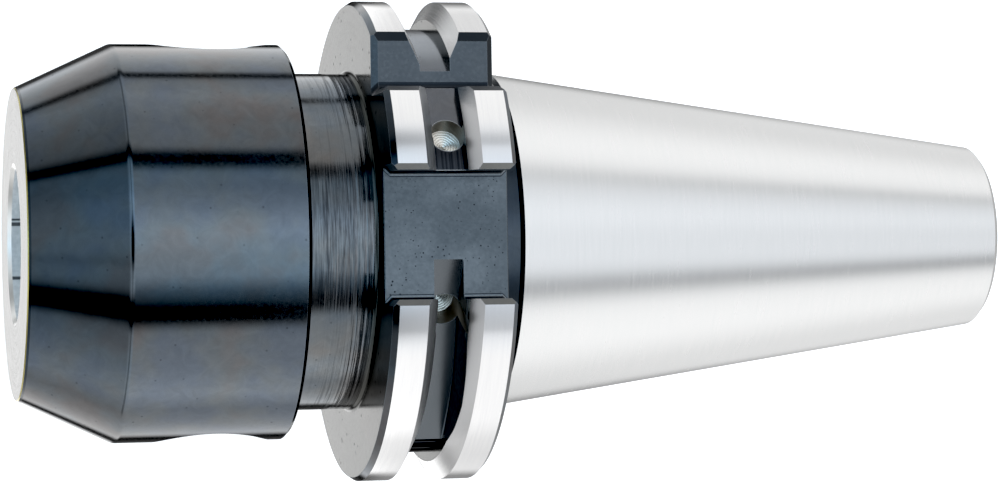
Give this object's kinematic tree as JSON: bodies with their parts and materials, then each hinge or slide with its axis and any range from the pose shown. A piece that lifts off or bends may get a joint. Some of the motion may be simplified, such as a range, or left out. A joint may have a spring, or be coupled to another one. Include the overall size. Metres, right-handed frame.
{
  "type": "side lock end mill holder",
  "caption": "Side lock end mill holder with a 7:24 steep taper shank, a grooved flange with drive key slots and an orientation notch, and a radial clamping screw.",
  "frame": {"origin": "on the tool axis at the taper's gauge line", "axes": "+X along the tool axis from the nose to the small end of the taper, +Y through the clamping screw, +Z through the shallower drive key slot"},
  "size_m": [0.1314, 0.0636, 0.061],
  "materials": {
    "black_oxide_steel": "satin",
    "screw_steel": "satin"
  },
  "bodies": {
    "holder": {"holder_body": "black_oxide_steel"},
    "screw": {"clamping_screw": "screw_steel"}
  },
  "joints": [
    {"name": "screw_feed", "type": "slide", "parent": "holder", "child": "screw", "axis": [0, 1, 0], "range_m": [-0.002, 0.012]}
  ]
}
